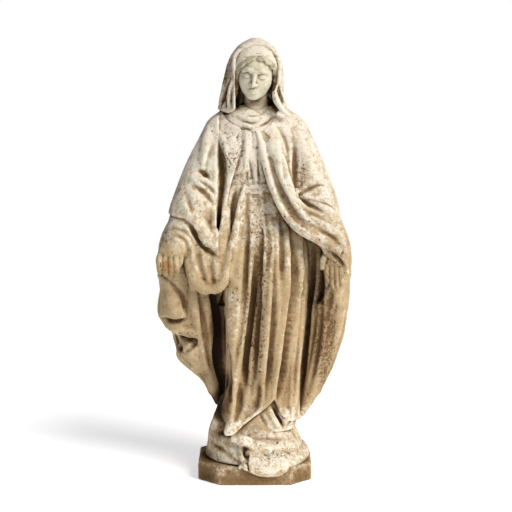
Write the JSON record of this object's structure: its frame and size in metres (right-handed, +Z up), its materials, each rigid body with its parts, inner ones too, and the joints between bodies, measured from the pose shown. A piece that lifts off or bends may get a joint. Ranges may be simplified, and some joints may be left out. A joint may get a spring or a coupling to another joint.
{
  "type": "garden statue",
  "caption": "Standing draped madonna in weathered cast stone, arms lowered with open hands, on a half globe with a serpent and an octagonal plinth.",
  "frame": {"origin": "middle of the plinth's underside, on the ground", "axes": "+Z up, the figure faces -Y, +X is the viewer's right"},
  "size_m": [0.325, 0.1799, 0.7606],
  "materials": {
    "cast_stone": "weathered cast stone with worn cream limewash, tan body and brown grime in the folds",
    "fine_stone": "finer cast stone, smoother and paler, rust stained at the fingers",
    "mortar": "sandy bedding mortar",
    "steel": "dull galvanised steel, spotted with rust"
  },
  "bodies": {
    "root": {"plinth": "cast_stone", "globe": "cast_stone", "serpent": "cast_stone", "gown": "cast_stone", "mantle": "cast_stone", "veil": "cast_stone", "head": "fine_stone", "right_hand": "fine_stone", "left_hand": "fine_stone", "plinth_bed": "mortar", "figure_bed": "mortar", "tie_rod": "steel", "tie_washer": "steel", "tie_nut": "steel", "neck_dowel": "steel", "right_hand_dowel": "steel", "left_hand_dowel": "steel", "mantle_pin_upper": "steel", "mantle_pin_lower": "steel"}
  },
  "joints": []
}
